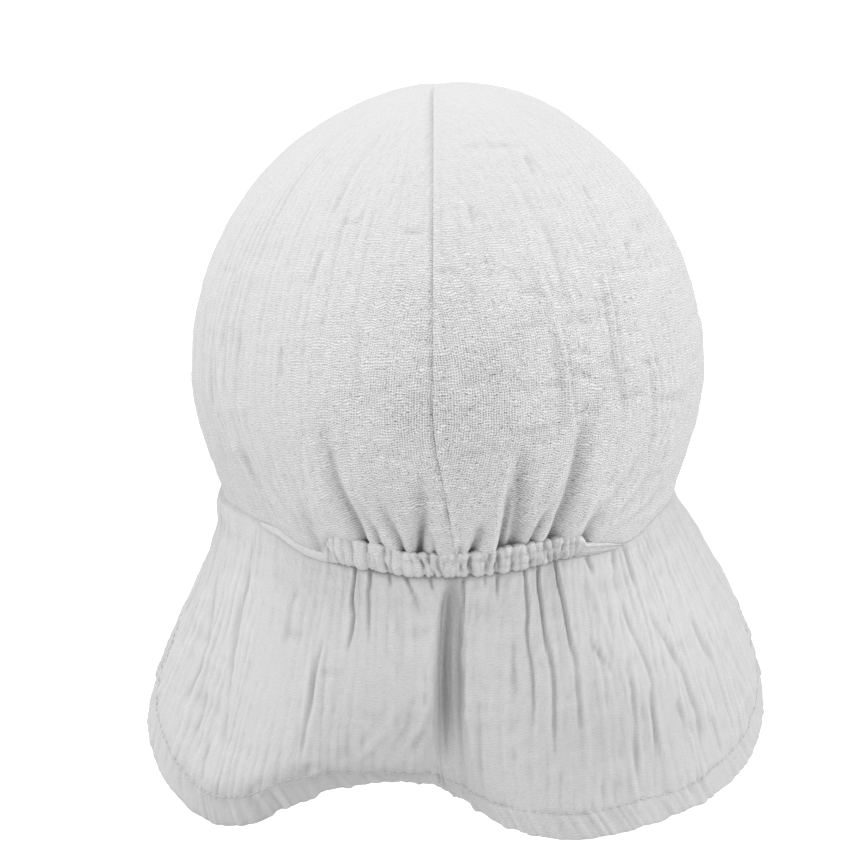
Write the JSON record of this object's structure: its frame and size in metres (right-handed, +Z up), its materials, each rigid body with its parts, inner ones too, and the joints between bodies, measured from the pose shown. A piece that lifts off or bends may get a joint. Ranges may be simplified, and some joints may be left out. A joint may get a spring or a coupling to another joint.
{
  "type": "sun cap",
  "caption": "Soft rounded sun cap for a toddler, with a gored crown, a gathered elastic nape, a flared neck flap and a short soft peak.",
  "frame": {"origin": "just inside the top of the crown, where the wearer's head carries the cap", "axes": "+Z up, the peak points along -Y, the nape and its flap face +Y, and the wearer's right is at -X"},
  "size_m": [0.2048, 0.2233, 0.2318],
  "materials": {
    "crown_gauze": "crinkled double gauze",
    "casing_gauze": "gathered double gauze",
    "flap_gauze": "crinkled double gauze",
    "peak_gauze": "stitched double gauze"
  },
  "bodies": {
    "root": {"crown_back_left": "crown_gauze", "crown_back_right": "crown_gauze", "crown_front_right": "crown_gauze", "crown_front_left": "crown_gauze", "nape_casing": "casing_gauze", "neck_flap": "flap_gauze", "peak": "peak_gauze"}
  },
  "joints": []
}
